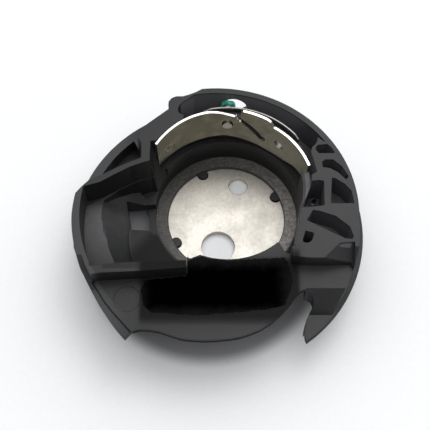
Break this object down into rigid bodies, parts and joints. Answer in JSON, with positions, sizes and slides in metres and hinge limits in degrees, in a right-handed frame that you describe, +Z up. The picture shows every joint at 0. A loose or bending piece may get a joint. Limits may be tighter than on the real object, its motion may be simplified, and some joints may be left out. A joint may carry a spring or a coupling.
{
  "type": "bobbin case",
  "caption": "Drop-in bobbin case for a sewing machine: black moulded inner hook with a steel base plate, a curved guide plate and a thread-tension spring with its adjusting screw.",
  "frame": {"origin": "centre of the base plate's under face, on the axis of the bobbin well", "axes": "+Z up out of the well's mouth, +Y to the tension spring's side, +X to the right of someone facing the spring"},
  "size_m": [0.0428, 0.0397, 0.0151],
  "materials": {
    "black_plastic": "fine matte grain",
    "plate_steel": "dull, finely mottled",
    "nickel": "satin nickel",
    "screw_steel": "turned",
    "lacquer": "dried locking lacquer"
  },
  "bodies": {
    "case": {"hook_body": "black_plastic", "base_plate": "plate_steel", "guide_plate": "nickel", "fixing_screw": "screw_steel"},
    "leaf": {"tension_spring": "nickel"},
    "screw": {"tension_screw": "screw_steel", "lacquer_dab": "lacquer"}
  },
  "joints": [
    {"name": "leaf_flex", "type": "hinge", "parent": "case", "child": "leaf", "pos_m": [0.00879, 0.00931, 0.0101], "axis": [0, 0, -1], "range_deg": [0, 0.6], "stiffness_Nm_per_rad": 0.05, "springref_deg": -3.44},
    {"name": "tension_turn", "type": "hinge", "parent": "case", "child": "screw", "pos_m": [0.00013, 0.01115, 0.0113], "axis": [0.0297, 0.9996, 0], "range_deg": [-180, 180]}
  ]
}
